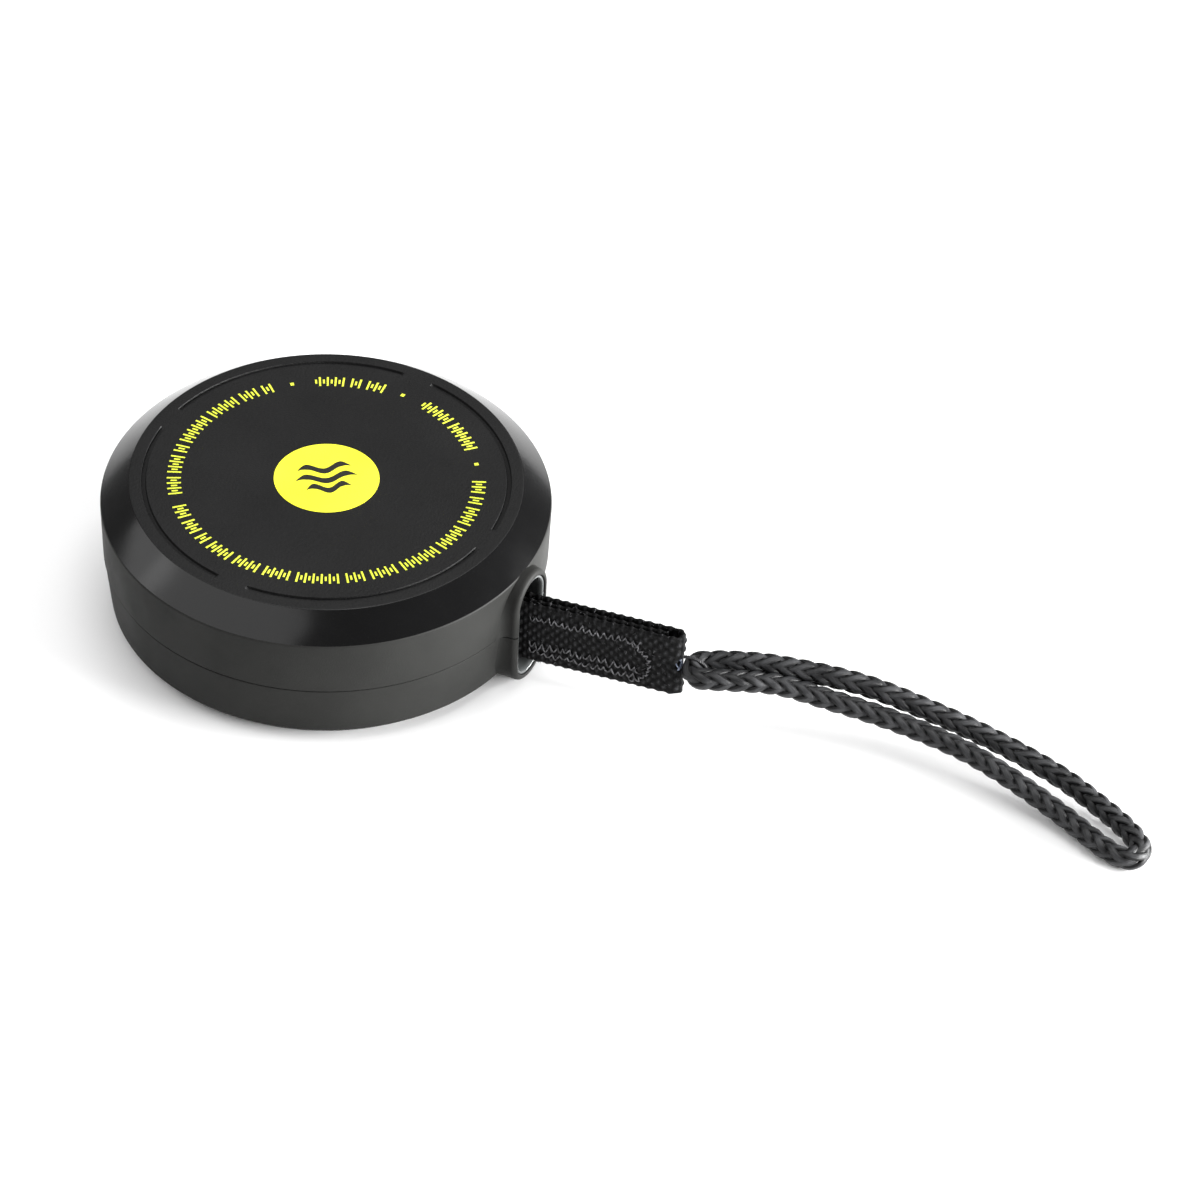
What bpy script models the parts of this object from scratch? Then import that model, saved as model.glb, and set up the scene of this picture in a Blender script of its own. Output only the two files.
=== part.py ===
# Retractable leash reel: a flat round case with a spring-driven spool of webbing inside. The webbing leaves
# through a slot in the rim and ends in a stitched strap that holds a braided pull loop.
# Metres, +Z up. The axle is the Z axis, the base rests on z = 0, and the slot faces +X.
import math

import bmesh
import bpy
from mathutils import Matrix, Vector

# Case
case_radius = 0.045
case_height = 0.031
chamfer_width = 0.0058
chamfer_height = 0.0048
face_radius = case_radius - chamfer_width
seam_height = case_height * 0.4613
seam_gap = 0.0003
seam_draft = 0.0003
seam_step = 0.00015
base_draft = 0.0016
base_chamfer_width = 0.003
base_chamfer_height = 0.003
base_edge_radius = case_radius - base_draft
base_radius = base_edge_radius - base_chamfer_width
wall = 0.0023
plate = 0.0024
edge_round = 0.0005
groove_radius = face_radius - 0.0029
groove_width = 0.0007
groove_depth = 0.0004
groove_gap_angle = math.radians(11)

# Neck round the slot
lip_reach = 0.0022
lip_half_width = 0.0065
lip_wall = 0.0013
lip_round = 0.001
liner_wall = 0.00075
liner_length = 0.0058
liner_setback = 0.0003
liner_flare = 0.00045
tunnel_depth = 0.0046

# The neck's flare, as distances (from the case radius, beyond the lip's half width)
neck_flare = [
    (-0.0065, 0.0013), (-0.0025, 0.0035), (-0.0017, 0.0029), (-0.0011, 0.0018),
    (-0.0004, 0.0008), (0.0003, 0.0002), (0.0009, 0),
]

# Webbing, and the strap at its end
webbing_width = 0.015
webbing_thickness = 0.0011
strap_thickness = 0.004
strap_length = 0.0318
strap_inside = 0.0026
strap_edge = 0.0009
strap_yaw = math.radians(10.6)

# Case screws
screw_place = case_radius - 0.0078
boss_radius = 0.0029
screw_shaft_radius = 0.0012
screw_head_radius = 0.0021
screw_head_height = 0.0016
screw_head_bottom = 0.0005
screw_socket_radius = 0.0012
screw_length = 0.0205
screw_count = 4

# Spool and its bearings
hub_radius = 0.0175
hub_wall = 0.002
flange_radius = screw_place - boss_radius - 0.0021
coil_radius = flange_radius - 0.0034
flange_thickness = 0.0011
spool_side_clearance = 0.0004
web_below_channel = 0.0006
spool_floor_clearance = 0.0014
drum_wall = 0.0015
spring_thickness = 0.00035
spring_turns = 8
spring_tail = 0.0006
catch_half_width = 0.0011
cover_thickness = 0.0008
sleeve_wall = 0.0021
axle_radius = 0.003
axle_chamfer = 0.0004
bush_wall = 0.0012
bush_flange_radius = 0.0056
bush_flange_thickness = 0.0007
bush_length = 0.005
washer_thickness = 0.0005
clip_thickness = 0.0005
clip_radius = 0.0052
clip_groove_depth = 0.0006
anchor_pin_radius = 0.001
anchor_pin_place = hub_radius - hub_wall - 0.0023
anchor_pin_seat = 0.001
anchor_eye_wall = 0.0012

# Pull loop and the thread that ties it on. The route starts and ends at the thread. Each point has its place
# from the loop's centre in cord radii, and its height as a share of the rise from lying flat to the centre.
cord_radius = 0.0022
cord_rest_gap = 0.0001
loop_drop = 0.0005
loop_gap = 0.00039
loop_bend = cord_radius * 2.35
thread_radius = 0.00045
thread_ring_radius = cord_radius + 0.0012
loop_route = [
    (-1.347, -0.192, 1.00), (-1.128, 0.740, 1.00), (-0.306, 1.353, 1.01),
    (1.672, 2.149, 1.08), (5.476, 3.713, 1.10), (12.399, 5.603, 0.97),
    (18.535, 6.876, 0.71), (24.899, 7.649, 0.42), (31.399, 7.558, 0.17),
    (36.172, 6.422, 0.04), (39.672, 4.922, 0.01), (41.490, 3.376, 0.00),
    (40.944, 1.740, 0.00), (38.535, 1.967, 0.01), (33.581, 3.513, 0.10),
    (27.944, 4.603, 0.28), (22.899, 4.967, 0.45), (16.490, 4.376, 0.63),
    (10.444, 3.226, 0.77), (6.213, 1.744, 0.92), (2.581, -0.124, 0.99),
    (0.253, -1.306, 1.00), (-0.769, -1.137, 1.00), (-1.324, -0.328, 1.00),
]
loop_samples = 3

# Clearances
clearance = 0.0003
running_clearance = 0.00005
shaft_clearance = 0.00015
cut_over = 0.001

# Levels worked out from the sizes above
wall_top = case_height - chamfer_height
ceiling = case_height - plate
channel_bottom = plate + spool_floor_clearance + flange_thickness
webbing_centre = channel_bottom + spool_side_clearance + webbing_width / 2
webbing_bottom = webbing_centre - webbing_width / 2
webbing_top = webbing_centre + webbing_width / 2
channel_top = webbing_top + spool_side_clearance
drum_floor = channel_top + flange_thickness
spring_bottom = drum_floor + clearance
above_spring = clearance * 2 + cover_thickness + shaft_clearance * 2 + washer_thickness + clip_thickness
spring_width = ceiling - above_spring - spring_bottom
cover_bottom = spring_bottom + spring_width + clearance
cover_top = cover_bottom + cover_thickness
upper_washer_bottom = cover_top + shaft_clearance
clip_bottom = upper_washer_bottom + washer_thickness + shaft_clearance
boss_top = channel_bottom + 0.0026
lower_washer_bottom = boss_top + shaft_clearance
lower_bush_bottom = lower_washer_bottom + washer_thickness + shaft_clearance
sleeve_bottom = lower_bush_bottom + bush_flange_thickness + shaft_clearance
upper_bush_top = drum_floor
axle_bottom = 0.0015
axle_top = ceiling + 0.0007
bush_radius = axle_radius + running_clearance + bush_wall
sleeve_bore = bush_radius + running_clearance
strap_way = Vector((math.cos(strap_yaw), math.sin(strap_yaw), 0))
strap_start = Vector((case_radius + 0.001, 0, webbing_centre))
loop_centre = strap_start + strap_way * (strap_length + loop_gap + loop_bend) - Vector((0, 0, loop_drop))
lip_reach_x = case_radius + lip_reach
lip_top = wall_top + clearance
lip_bottom = running_clearance
lip_centre = (lip_top + lip_bottom) / 2
lip_half_height = (lip_top - lip_bottom) / 2
tunnel_half_width = lip_half_width - lip_wall
tunnel_half_height = lip_half_height - lip_wall
spring_outer_radius = flange_radius - drum_wall - clearance - spring_thickness / 2
spring_end_angle = math.tau / 4


def clear_scene():
    for obj in list(bpy.data.objects):
        bpy.data.objects.remove(obj)


def new_collection(name):
    collection = bpy.data.collections.new(name)
    bpy.context.scene.collection.children.link(collection)
    return collection


def new_material(name, colour, roughness, metallic=0.0):
    material = bpy.data.materials.new(name)
    material.use_nodes = True
    shader = material.node_tree.nodes["Principled BSDF"]
    shader.inputs["Base Color"].default_value = (*colour, 1)
    shader.inputs["Roughness"].default_value = roughness
    shader.inputs["Metallic"].default_value = metallic
    return material


def new_object(name, data, material=None, helper=False):
    obj = bpy.data.objects.new(name, data)
    (cutters if helper else parts).objects.link(obj)
    if helper:
        obj.hide_render = True
        obj.display_type = "WIRE"
    if material:
        data.materials.append(material)
    return obj


def mesh_from(name, build):
    """Makes a mesh from a function that fills a bmesh."""
    bm = bmesh.new()
    build(bm)
    bmesh.ops.recalc_face_normals(bm, faces=bm.faces)
    mesh = bpy.data.meshes.new(name)
    bm.to_mesh(mesh)
    bm.free()
    return mesh


def add_box(bm, low, high, turn=0.0):
    low = Vector(low)
    high = Vector(high)
    place = Matrix.Rotation(turn, 4, "Z") @ Matrix.Translation((low + high) / 2)
    size = Matrix.Diagonal((*(high - low), 1))
    bmesh.ops.create_cube(bm, size=1, matrix=place @ size)


def add_rod(bm, radius, bottom, top, x=0.0, y=0.0, segments=20):
    place = Matrix.Translation((x, y, (bottom + top) / 2))
    bmesh.ops.create_cone(
        bm, cap_ends=True, segments=segments, radius1=radius, radius2=radius, depth=top - bottom, matrix=place
    )


def screw_angles():
    return [math.tau * (k + 0.5) / screw_count for k in range(screw_count)]


def screw_spots():
    return [(screw_place * math.cos(a), screw_place * math.sin(a)) for a in screw_angles()]


def turned(name, profile, steps, material=None, helper=False, closed=False):
    """A profile of (radius, height) turned about Z. An open profile starts and ends on the axis."""
    mesh = bpy.data.meshes.new(name)
    count = len(profile)
    edges = [(k, k + 1) for k in range(count - 1)]
    if closed:
        edges.append((count - 1, 0))
    mesh.from_pydata([(r, 0, z) for r, z in profile], edges, [])
    obj = new_object(name, mesh, material, helper)
    screw = obj.modifiers.new("turn", "SCREW")
    screw.steps = steps
    screw.render_steps = steps
    screw.use_merge_vertices = True
    screw.merge_threshold = 0.00001
    return obj


def rounded(points, radius, steps=3):
    """The profile with each inner corner replaced by a small arc."""
    out = [points[0]]
    for before, corner, after in zip(points, points[1:], points[2:]):
        here = Vector(corner)
        back = (Vector(before) - here).normalized()
        on = (Vector(after) - here).normalized()
        half = back.angle(on) / 2
        reach = radius / math.tan(half)
        middle = here + (back + on).normalized() * radius / math.sin(half)
        start = here + back * reach - middle
        sweep = start.angle_signed(here + on * reach - middle)
        for k in range(steps + 1):
            turn = Matrix.Rotation(-sweep * k / steps, 2)
            out.append(tuple(middle + turn @ start))
    out.append(points[-1])
    return out


def boolean(obj, tool, operation):
    modifier = obj.modifiers.new(tool.name, "BOOLEAN")
    modifier.operation = operation
    modifier.object = tool


def prism(name, outline, bottom, top, material=None, helper=False):
    """A flat outline extruded from one height to another, as a mesh."""
    curve = bpy.data.curves.new(name, "CURVE")
    curve.dimensions = "2D"
    curve.fill_mode = "BOTH"
    curve.extrude = (top - bottom) / 2
    spline = curve.splines.new("POLY")
    spline.points.add(len(outline) - 1)
    for point, (x, y) in zip(spline.points, outline):
        point.co = (x, y, 0, 1)
    spline.use_cyclic_u = True
    return curve_to_mesh(name, curve, Matrix.Translation((0, 0, (bottom + top) / 2)), material, helper)


def curve_to_mesh(name, curve, place, material=None, helper=False):
    guide = bpy.data.objects.new(name + "_curve", curve)
    guide.matrix_world = place
    cutters.objects.link(guide)
    bpy.context.view_layer.update()
    graph = bpy.context.evaluated_depsgraph_get()
    mesh = bpy.data.meshes.new_from_object(guide.evaluated_get(graph))
    bm = bmesh.new()
    bm.from_mesh(mesh)
    bmesh.ops.remove_doubles(bm, verts=bm.verts, dist=0.000001)
    bmesh.ops.recalc_face_normals(bm, faces=bm.faces)
    bm.to_mesh(mesh)
    bm.free()
    obj = new_object(name, mesh, material, helper)
    obj.matrix_world = place
    bpy.data.objects.remove(guide)
    return obj


def obround(half_width, half_height, points=40):
    """Points of an upright slot shape in the YZ plane, as (y, z) from its centre."""
    straight = half_height - half_width
    ring = []
    for k in range(points):
        angle = math.tau * (k + 0.5) / points
        lift = straight if math.sin(angle) > 0 else -straight
        ring.append((half_width * math.cos(angle), lift + half_width * math.sin(angle)))
    return ring


def loft(bm, rings):
    """Joins rings of points, all of the same length, and closes both ends."""
    loops = [[bm.verts.new(p) for p in ring] for ring in rings]
    count = len(loops[0])
    for low, high in zip(loops, loops[1:]):
        for k in range(count):
            n = (k + 1) % count
            bm.faces.new((low[k], low[n], high[n], high[k]))
    bm.faces.new(loops[0])
    bm.faces.new(loops[-1])


def slot_rings(sections):
    """Rings for a slot-shaped loft along X, from (x, half width, half height) of each section."""
    return [[(x, y, lip_centre + z) for y, z in obround(w, h)] for x, w, h in sections]


def strip_outline(points, thickness):
    """The outline of a flat strip of one thickness along a line of (x, y) points."""
    left = []
    right = []
    for k, point in enumerate(points):
        before = Vector(points[max(k - 1, 0)])
        after = Vector(points[min(k + 1, len(points) - 1)])
        way = (after - before).normalized()
        side = Vector((-way.y, way.x)) * thickness / 2
        left.append(tuple(Vector(point) + side))
        right.append(tuple(Vector(point) - side))
    return left + right[::-1]


def smooth_line(route, samples):
    """Catmull-Rom points through a route of 3D points."""
    route = [Vector(p) for p in route]
    route = [route[0] * 2 - route[1]] + route + [route[-1] * 2 - route[-2]]
    out = []
    for a, b, c, d in zip(route, route[1:], route[2:], route[3:]):
        for k in range(samples):
            t = k / samples
            square = (a * 2 - b * 5 + c * 4 - d) * t**2
            cube = (b * 3 - a - c * 3 + d) * t**3
            out.append((b * 2 + (c - a) * t + square + cube) / 2)
    out.append(route[-2])
    return out


def case_cavity():
    """The hollow of the case, cut from both shells."""
    profile = [
        (0, ceiling),
        (face_radius - wall / 2, ceiling),
        (case_radius - wall, wall_top - wall / 3),
        (case_radius - seam_draft - wall, seam_height),
        (base_edge_radius - wall, base_chamfer_height + wall / 2),
        (base_radius - wall / 2, plate),
        (0, plate),
    ]
    return turned("case_cavity", profile, 80, helper=True)


def neck_block():
    """The raised neck round the slot, flared at both sides where it meets the wall."""
    sections = [(case_radius + out, lip_half_width + more, lip_half_height) for out, more in neck_flare]
    for k in range(4):
        angle = math.pi / 2 * (k + 1) / 4
        inset = lip_round * (1 - math.cos(angle))
        x = lip_reach_x - lip_round + lip_round * math.sin(angle)
        sections.append((x, lip_half_width - inset, lip_half_height - inset))
    mesh = mesh_from("neck_block", lambda bm: loft(bm, slot_rings(sections)))
    return new_object("neck_block", mesh, helper=True)


def neck_tunnel():
    half = (tunnel_half_width, tunnel_half_height)
    sections = [(case_radius - tunnel_depth, *half), (lip_reach_x + cut_over, *half)]
    mesh = mesh_from("neck_tunnel", lambda bm: loft(bm, slot_rings(sections)))
    return new_object("neck_tunnel", mesh, helper=True)


def rods_at_screws(name, radius, bottom, top):
    def build(bm):
        for x, y in screw_spots():
            add_rod(bm, radius, bottom, top, x, y)

    return new_object(name, mesh_from(name, build), helper=True)


def half_space(name, bottom, top):
    reach = case_radius * 2

    def build(bm):
        add_box(bm, (-reach, -reach, bottom), (reach, reach, top))

    return new_object(name, mesh_from(name, build), helper=True)


def face_grooves():
    """Four arc grooves just inside the edge of the face, with a gap at the slot and every quarter turn."""
    tools = []
    for quarter in range(4):
        start = math.tau * quarter / 4 + groove_gap_angle / 2
        sweep = math.tau / 4 - groove_gap_angle
        angles = [start + sweep * k / 20 for k in range(21)]
        line = [(groove_radius * math.cos(a), groove_radius * math.sin(a)) for a in angles]
        outline = strip_outline(line, groove_width)
        bottom = case_height - groove_depth
        top = case_height + cut_over
        tools.append(prism(f"face_groove_{quarter + 1}", outline, bottom, top, helper=True))
    return tools


def axle_socket(name, bottom, top):
    radius = axle_radius + running_clearance
    mesh = mesh_from(name, lambda bm: add_rod(bm, radius, bottom, top, segments=32))
    return new_object(name, mesh, helper=True)


def upper_case(material, cavity, neck, tunnel):
    wall_foot = case_radius - seam_draft
    below_seam = seam_height - cut_over
    profile = [(0, case_height), (face_radius, case_height), (case_radius, wall_top), (wall_foot, below_seam)]
    profile = rounded(profile, edge_round) + [(0, below_seam)]
    obj = turned("upper_case", profile, 80, material)
    boolean(obj, neck, "UNION")
    boolean(obj, cavity, "DIFFERENCE")
    boolean(obj, rods_at_screws("upper_bosses", boss_radius, below_seam, ceiling + plate / 2), "UNION")
    boolean(obj, tunnel, "DIFFERENCE")
    boolean(obj, half_space("below_seam", -case_height, seam_height + seam_gap / 2), "DIFFERENCE")
    pilot_top = screw_head_bottom + screw_head_height + screw_length + clearance
    pilots = rods_at_screws("screw_pilots", screw_shaft_radius + running_clearance, 0, pilot_top)
    boolean(obj, pilots, "DIFFERENCE")
    boolean(obj, axle_socket("axle_top_socket", ceiling - plate, axle_top + shaft_clearance), "DIFFERENCE")
    for groove in face_grooves():
        boolean(obj, groove, "DIFFERENCE")
    return obj


def lower_case(material, cavity, neck, tunnel):
    wall_head = case_radius - seam_draft - seam_step
    profile = [
        (0, seam_height + cut_over),
        (wall_head, seam_height + cut_over),
        (wall_head, seam_height),
        (base_edge_radius, base_chamfer_height),
        (base_radius, 0),
        (0, 0),
    ]
    profile = profile[:2] + rounded(profile[2:], edge_round)
    obj = turned("lower_case", profile, 80, material)
    boolean(obj, neck, "UNION")
    boolean(obj, cavity, "DIFFERENCE")
    boolean(obj, rods_at_screws("lower_bosses", boss_radius, plate / 2, seam_height + cut_over), "UNION")
    axle_boss = new_object(
        "axle_boss",
        mesh_from("axle_boss", lambda bm: add_rod(bm, bush_flange_radius, plate / 2, boss_top, segments=32)),
        helper=True,
    )
    boolean(obj, axle_boss, "UNION")
    boolean(obj, tunnel, "DIFFERENCE")
    boolean(obj, half_space("above_seam", seam_height - seam_gap / 2, case_height * 2), "DIFFERENCE")
    shafts = rods_at_screws("screw_holes", screw_shaft_radius + shaft_clearance, -cut_over, seam_height)
    boolean(obj, shafts, "DIFFERENCE")
    pocket_top = screw_head_bottom + screw_head_height + running_clearance
    heads = rods_at_screws("screw_pockets", screw_head_radius + clearance, -cut_over, pocket_top)
    boolean(obj, heads, "DIFFERENCE")
    socket = axle_socket("axle_foot_socket", axle_bottom - running_clearance, boss_top + cut_over)
    boolean(obj, socket, "DIFFERENCE")
    return obj


def port_liner(material):
    """The smooth sleeve in the slot that keeps the webbing off the shells' edges."""
    outer = (tunnel_half_width - running_clearance * 2, tunnel_half_height - running_clearance * 2)
    bore = (outer[0] - liner_wall, outer[1] - liner_wall)
    front = lip_reach_x - liner_setback
    body = [(front - liner_length, *outer), (front, *outer)]
    obj = new_object("port_liner", mesh_from("port_liner", lambda bm: loft(bm, slot_rings(body))), material)
    hole = [(front - liner_length - cut_over, *bore), (front - liner_wall * 1.5, *bore)]
    for out, share in ((-liner_wall / 2, 0.4), (liner_setback, 1.2)):
        hole.append((front + out, bore[0] + liner_flare * share, bore[1] + liner_flare * share))
    bore_mesh = mesh_from("liner_bore", lambda bm: loft(bm, slot_rings(hole)))
    boolean(obj, new_object("liner_bore", bore_mesh, helper=True), "DIFFERENCE")
    return obj


def case_screws(material):
    """Socket-head screws from the underside into the upper shell."""
    bottom = screw_head_bottom
    head_top = bottom + screw_head_height
    tip = head_top + screw_length
    recess = bottom + screw_head_height * 0.6
    rim = screw_head_radius * 0.14
    for number, (x, y) in enumerate(screw_spots(), 1):
        profile = [
            (0, tip),
            (screw_shaft_radius * 0.6, tip),
            (screw_shaft_radius, tip - screw_shaft_radius * 0.7),
            (screw_shaft_radius, head_top),
            (screw_head_radius, head_top),
            (screw_head_radius, bottom + rim),
            (screw_head_radius - rim, bottom),
            (screw_socket_radius, bottom),
            (screw_socket_radius, recess),
            (0, recess),
        ]
        obj = turned(f"case_screw_{number}", profile, 20, material)
        obj.location = (x, y, 0)


def axle(material):
    groove = axle_radius - clip_groove_depth
    end = axle_radius - axle_chamfer
    profile = [
        (0, axle_top),
        (end, axle_top),
        (axle_radius, axle_top - axle_chamfer),
        (axle_radius, clip_bottom + clip_thickness + running_clearance),
        (groove, clip_bottom + clip_thickness + running_clearance),
        (groove, clip_bottom - running_clearance),
        (axle_radius, clip_bottom - running_clearance),
        (axle_radius, axle_bottom + axle_chamfer),
        (end, axle_bottom),
        (0, axle_bottom),
    ]
    obj = turned("axle", profile, 32, material)
    half_slot = spring_thickness / 2 + clearance

    def build(bm):
        low = (-axle_radius * 0.6, -half_slot, spring_bottom - clearance / 2)
        add_box(bm, low, (axle_radius * 2, half_slot, cover_bottom - clearance / 2))

    boolean(obj, new_object("axle_slot", mesh_from("axle_slot", build), helper=True), "DIFFERENCE")
    return obj


def ring(name, inner, outer, bottom, top, material, steps=32):
    profile = [(outer, top), (outer, bottom), (inner, bottom), (inner, top)]
    return turned(name, profile, steps, material, closed=True)


def washers_and_clip(washer_material, clip_material):
    inner = axle_radius + shaft_clearance
    low = lower_washer_bottom
    ring("lower_washer", inner, bush_flange_radius, low, low + washer_thickness, washer_material)
    high = upper_washer_bottom
    ring("upper_washer", inner, bush_flange_radius, high, high + washer_thickness, washer_material)
    groove = axle_radius - clip_groove_depth + shaft_clearance
    clip_top = clip_bottom + clip_thickness
    clip = ring("retaining_clip", groove, clip_radius, clip_bottom, clip_top, clip_material)

    def build(bm):
        mouth = groove * 0.8
        top = clip_bottom + clip_thickness + cut_over
        add_box(bm, (0, -mouth, clip_bottom - cut_over), (clip_radius * 2, mouth, top))

    boolean(clip, new_object("clip_mouth", mesh_from("clip_mouth", build), helper=True), "DIFFERENCE")


def bushes(material):
    inner = axle_radius + running_clearance
    low = lower_bush_bottom
    step = low + bush_flange_thickness
    profile = [
        (bush_radius, step + bush_length),
        (bush_radius, step),
        (bush_flange_radius, step),
        (bush_flange_radius, low),
        (inner, low),
        (inner, step + bush_length),
    ]
    turned("lower_bush", profile, 32, material, closed=True)
    step = upper_bush_top - bush_flange_thickness
    profile = [
        (bush_flange_radius, upper_bush_top),
        (bush_flange_radius, step),
        (bush_radius, step),
        (bush_radius, step - bush_length),
        (inner, step - bush_length),
        (inner, upper_bush_top),
    ]
    turned("upper_bush", profile, 32, material, closed=True)


def spool(material):
    """Hub, two flanges, bearing sleeve and spring drum, moulded in one piece."""
    sleeve_radius = sleeve_bore + sleeve_wall
    hub_inside = hub_radius - hub_wall
    recess_floor = drum_floor - bush_flange_thickness - shaft_clearance
    recess_radius = bush_flange_radius + shaft_clearance
    ledge = flange_radius - drum_wall
    web_bottom = channel_top - web_below_channel
    profile = [
        (flange_radius, cover_top),
        (flange_radius, channel_top),
        (hub_radius, channel_top),
        (hub_radius, channel_bottom),
        (flange_radius, channel_bottom),
        (flange_radius, channel_bottom - flange_thickness),
        (hub_inside, channel_bottom - flange_thickness),
        (hub_inside, web_bottom),
        (sleeve_radius, web_bottom),
        (sleeve_radius, sleeve_bottom),
        (sleeve_bore, sleeve_bottom),
        (sleeve_bore, recess_floor),
        (recess_radius, recess_floor),
        (recess_radius, drum_floor),
        (ledge, drum_floor),
        (ledge, cover_bottom - running_clearance),
        (ledge + drum_wall / 2, cover_bottom - running_clearance),
        (ledge + drum_wall / 2, cover_top),
    ]
    obj = turned("spool", profile, 64, material, closed=True)
    half_slot = webbing_thickness + clearance * 2

    def slot(bm):
        low = (-hub_radius - cut_over, -half_slot, channel_bottom - flange_thickness - cut_over)
        add_box(bm, low, (-hub_inside + cut_over, half_slot, webbing_top - clearance))

    boolean(obj, new_object("hub_slot", mesh_from("hub_slot", slot), helper=True), "DIFFERENCE")

    def pin_seat(bm):
        top = webbing_top + anchor_pin_seat + running_clearance
        add_rod(bm, anchor_pin_radius + running_clearance, web_bottom - cut_over, top, -anchor_pin_place)

    boolean(obj, new_object("pin_seat", mesh_from("pin_seat", pin_seat), helper=True), "DIFFERENCE")

    def catch(bm):
        low = (spring_outer_radius - spring_thickness / 2, -catch_half_width, spring_bottom - clearance / 2)
        high = (ledge + drum_wall * 0.6, catch_half_width, cover_bottom - clearance)
        add_box(bm, low, high, spring_end_angle)

    boolean(obj, new_object("spring_catch", mesh_from("spring_catch", catch), helper=True), "DIFFERENCE")
    return obj


def power_spring(material):
    """A flat spiral spring. Its inner end sits in the axle's slot and its outer end in the drum's catch."""
    inner_radius = bush_flange_radius
    outer_radius = spring_outer_radius
    total = math.tau * spring_turns + spring_end_angle
    steps = spring_turns * 24
    line = [(-axle_radius * 0.4, 0), (axle_radius * 0.6, 0), (axle_radius + spring_tail, 0)]
    for k in range(1, steps + 1):
        share = k / steps
        radius = axle_radius + spring_tail + (inner_radius - axle_radius) * min(1, share * spring_turns * 2)
        radius += (outer_radius - inner_radius - spring_tail) * share**0.7
        angle = total * share
        line.append((radius * math.cos(angle), radius * math.sin(angle)))
    catch = outer_radius + drum_wall * 0.45
    turn = total + 0.02
    line.append((catch * math.cos(turn), catch * math.sin(turn)))
    outline = strip_outline(line, spring_thickness)
    return prism("power_spring", outline, spring_bottom, spring_bottom + spring_width, material)


def spring_cover(material):
    outer = flange_radius - drum_wall / 2 - running_clearance
    return ring("spring_cover", axle_radius + clearance, outer, cover_bottom, cover_top, material, 64)


def strap_anchor_pin(material):
    def build(bm):
        add_rod(bm, anchor_pin_radius, channel_bottom, webbing_top + anchor_pin_seat, -anchor_pin_place)

    return new_object("strap_anchor_pin", mesh_from("strap_anchor_pin", build), material)


def wound_webbing(material):
    """The webbing on the hub, with the tab that runs through the hub's slot and round the anchor pin."""
    inner = hub_radius + clearance
    tab_top = webbing_top - clearance * 4
    obj = ring("wound_webbing", inner, coil_radius, webbing_bottom, webbing_top, material, 64)

    def tab(bm):
        low = (-inner - webbing_thickness, -webbing_thickness, webbing_bottom + clearance)
        add_box(bm, low, (-anchor_pin_place, webbing_thickness, tab_top))

    boolean(obj, new_object("anchor_tab", mesh_from("anchor_tab", tab), helper=True), "UNION")

    def eye(bm):
        bottom = webbing_bottom + clearance / 2
        add_rod(bm, anchor_pin_radius + anchor_eye_wall, bottom, tab_top - clearance / 2, -anchor_pin_place)

    boolean(obj, new_object("anchor_eye", mesh_from("anchor_eye", eye), helper=True), "UNION")

    def bore(bm):
        low = webbing_bottom - cut_over
        add_rod(bm, anchor_pin_radius + shaft_clearance, low, webbing_top + cut_over, -anchor_pin_place)

    boolean(obj, new_object("anchor_bore", mesh_from("anchor_bore", bore), helper=True), "DIFFERENCE")
    return obj


def webbing_run(material):
    """The outermost turn of webbing, leaving the coil at a tangent and bending into the slot."""
    radius = coil_radius + clearance + webbing_thickness / 2
    end = strap_start - strap_way * (strap_inside + clearance)
    leave = -math.acos(radius / (end.x - strap_inside)) - 0.02
    line = []
    for k in range(13):
        angle = leave - math.radians(75) * (1 - k / 12)
        line.append(Vector((radius * math.cos(angle), radius * math.sin(angle))))
    start = line.pop()
    way = Vector((-math.sin(leave), math.cos(leave)))
    far = Vector((end.x, end.y))
    reach = (far - start).length
    handle_start = start + way * reach * 0.72
    handle_end = far - Vector((strap_way.x, strap_way.y)) * reach * 0.18
    for k in range(17):
        t = k / 16
        point = start * (1 - t) ** 3 + handle_start * 3 * t * (1 - t) ** 2
        line.append(point + handle_end * 3 * t**2 * (1 - t) + far * t**3)
    outline = strip_outline([tuple(p) for p in line], webbing_thickness)
    return prism("webbing_run", outline, webbing_bottom, webbing_top, material)


def strap_frame():
    """The matrix that takes X to the strap's own direction, from the point where it crosses the lip."""
    return Matrix.Translation(strap_start) @ Matrix.Rotation(strap_yaw, 4, "Z")


def webbing_end(material):
    """The folded and stitched end of the webbing."""
    obj = new_object(
        "webbing_end",
        mesh_from(
            "webbing_end",
            lambda bm: add_box(
                bm,
                (-strap_inside, -strap_thickness / 2, -webbing_width / 2),
                (strap_length, strap_thickness / 2, webbing_width / 2),
            ),
        ),
        material,
    )
    obj.matrix_world = strap_frame()
    bevel = obj.modifiers.new("soft_edges", "BEVEL")
    bevel.width = strap_edge
    bevel.segments = 3
    tool = thread_torus("thread_hole", thread_radius + clearance, helper=True)
    boolean(obj, tool, "DIFFERENCE")
    return obj


def thread_torus(name, minor, material=None, helper=False):
    """A ring through the loop's bend and the strap's end, in the upright plane along the strap."""
    bpy.ops.mesh.primitive_torus_add(
        major_radius=thread_ring_radius, minor_radius=minor, major_segments=28, minor_segments=10
    )
    made = bpy.context.object
    mesh = made.data
    bpy.data.objects.remove(made)
    mesh.name = name
    obj = new_object(name, mesh, material, helper)
    centre = loop_centre - strap_way * thread_ring_radius
    upright = Matrix.Rotation(strap_yaw, 4, "Z") @ Matrix.Rotation(math.pi / 2, 4, "X")
    obj.matrix_world = Matrix.Translation(centre) @ upright
    return obj


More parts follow.
